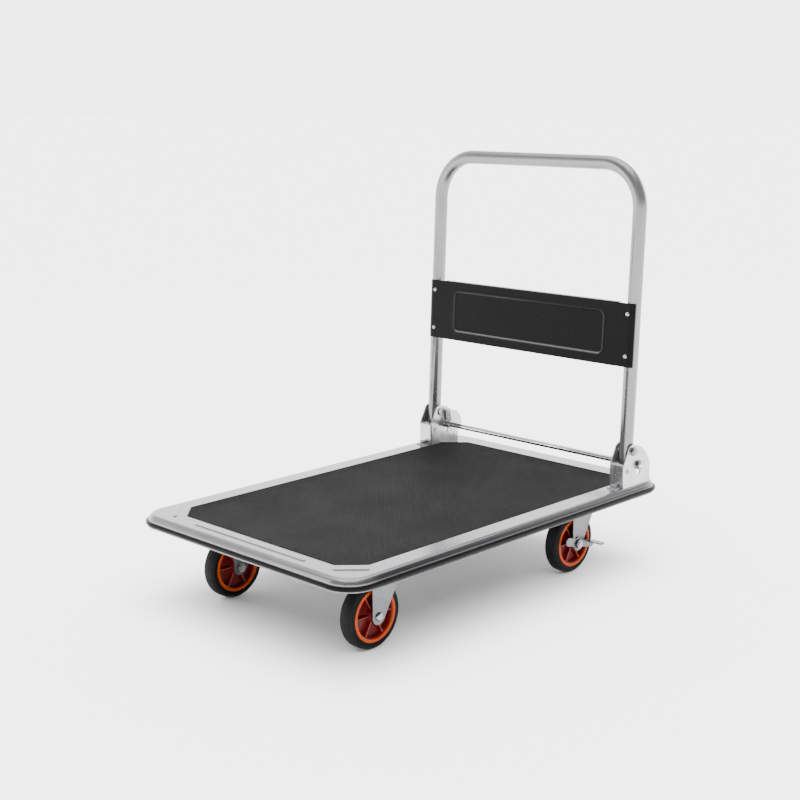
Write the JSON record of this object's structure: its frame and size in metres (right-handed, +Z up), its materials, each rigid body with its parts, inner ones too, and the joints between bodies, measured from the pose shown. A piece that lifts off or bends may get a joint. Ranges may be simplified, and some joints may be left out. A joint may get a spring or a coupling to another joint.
{
  "type": "folding platform cart",
  "caption": "Flat steel platform cart with a fold-down push handle, foot release bar, two fixed and two swivel castors with brakes and a rubber deck mat.",
  "frame": {"origin": "on the floor, under the middle of the deck", "axes": "+X forward, away from the push handle; +Y to the left; +Z up"},
  "size_m": [0.9, 0.59, 0.8295],
  "materials": {
    "silver_paint": "semi-gloss metallic",
    "grey_paint": "satin",
    "black_paint": "semi-gloss",
    "mat_rubber": "matte, fine ribs",
    "bumper_rubber": "semi-gloss",
    "tyre": "matte",
    "orange_plastic": "semi-gloss",
    "red_plastic": "satin",
    "nylon": "satin",
    "black_plastic": "satin",
    "chrome": "polished",
    "spring_steel": "bright",
    "fastener_steel": "zinc plated",
    "zinc_steel": "bright zinc plated"
  },
  "bodies": {
    "platform": {"bracket_bolts": "fastener_steel", "bracket_nuts": "fastener_steel", "bumper_strip": "bumper_rubber", "castor_bolts": "fastener_steel", "castor_nuts": "fastener_steel", "deck_mat": "mat_rubber", "deck_tray": "silver_paint", "front_cross_member": "grey_paint", "front_left_axle": "fastener_steel", "front_left_fork": "zinc_steel", "front_right_axle": "fastener_steel", "front_right_fork": "zinc_steel", "left_deck_rail": "grey_paint", "left_hinge_bracket": "zinc_steel", "pivot_bolts": "fastener_steel", "pivot_nuts": "fastener_steel", "rear_cross_member": "grey_paint", "rear_left_king_pin": "fastener_steel", "rear_left_swivel_plate": "zinc_steel", "rear_right_king_pin": "fastener_steel", "rear_right_swivel_plate": "zinc_steel", "right_deck_rail": "grey_paint", "right_hinge_bracket": "zinc_steel", "stop_pins": "fastener_steel"},
    "front_left_wheel": {"front_left_rim_ring": "orange_plastic", "front_left_tyre": "tyre", "front_left_wheel_bush": "nylon", "front_left_wheel_core": "red_plastic"},
    "front_right_wheel": {"front_right_rim_ring": "orange_plastic", "front_right_tyre": "tyre", "front_right_wheel_bush": "nylon", "front_right_wheel_core": "red_plastic"},
    "handle": {"handle_panel": "black_paint", "handle_tube": "silver_paint", "panel_rivets": "fastener_steel", "pivot_bushes": "nylon", "post_plugs": "black_plastic"},
    "release_bar": {"latch_cams": "zinc_steel", "release_bar": "chrome", "release_nuts": "fastener_steel", "return_springs": "spring_steel"},
    "rear_left_swivel": {"rear_left_axle": "fastener_steel", "rear_left_bearing_balls": "spring_steel", "rear_left_fork": "zinc_steel"},
    "rear_left_brake": {"rear_left_brake_lever": "zinc_steel"},
    "rear_left_wheel": {"rear_left_rim_ring": "orange_plastic", "rear_left_tyre": "tyre", "rear_left_wheel_bush": "nylon", "rear_left_wheel_core": "red_plastic"},
    "rear_right_swivel": {"rear_right_axle": "fastener_steel", "rear_right_bearing_balls": "spring_steel", "rear_right_fork": "zinc_steel"},
    "rear_right_brake": {"rear_right_brake_lever": "zinc_steel"},
    "rear_right_wheel": {"rear_right_rim_ring": "orange_plastic", "rear_right_tyre": "tyre", "rear_right_wheel_bush": "nylon", "rear_right_wheel_core": "red_plastic"}
  },
  "joints": [
    {"name": "handle_fold", "type": "hinge", "parent": "platform", "child": "handle", "pos_m": [-0.35, 0, 0.25], "axis": [0, 1, 0], "range_deg": [0, 98.2]},
    {"name": "release_press", "type": "slide", "parent": "platform", "child": "release_bar", "axis": [0, 0, -1], "range_m": [0, 0.014], "stiffness_N_per_m": 1200, "springref_m": -0.012},
    {"name": "front_left_wheel_spin", "type": "hinge", "parent": "platform", "child": "front_left_wheel", "pos_m": [0.2995, 0.188, 0.0625], "axis": [0, 1, 0], "continuous": true},
    {"name": "front_right_wheel_spin", "type": "hinge", "parent": "platform", "child": "front_right_wheel", "pos_m": [0.2995, -0.188, 0.0625], "axis": [0, 1, 0], "continuous": true},
    {"name": "rear_left_swivel_turn", "type": "hinge", "parent": "platform", "child": "rear_left_swivel", "pos_m": [-0.2955, 0.188, 0.14], "axis": [0, 0, 1], "continuous": true},
    {"name": "rear_left_wheel_spin", "type": "hinge", "parent": "rear_left_swivel", "child": "rear_left_wheel", "pos_m": [-0.2655, 0.188, 0.0625], "axis": [0, 1, 0], "continuous": true},
    {"name": "rear_left_brake_press", "type": "hinge", "parent": "rear_left_swivel", "child": "rear_left_brake", "pos_m": [-0.2655, 0.188, 0.0625], "axis": [0, -1, 0], "range_deg": [0, 20]},
    {"name": "rear_right_swivel_turn", "type": "hinge", "parent": "platform", "child": "rear_right_swivel", "pos_m": [-0.2955, -0.188, 0.14], "axis": [0, 0, 1], "continuous": true},
    {"name": "rear_right_wheel_spin", "type": "hinge", "parent": "rear_right_swivel", "child": "rear_right_wheel", "pos_m": [-0.2655, -0.188, 0.0625], "axis": [0, 1, 0], "continuous": true},
    {"name": "rear_right_brake_press", "type": "hinge", "parent": "rear_right_swivel", "child": "rear_right_brake", "pos_m": [-0.2655, -0.188, 0.0625], "axis": [0, -1, 0], "range_deg": [0, 20]}
  ]
}
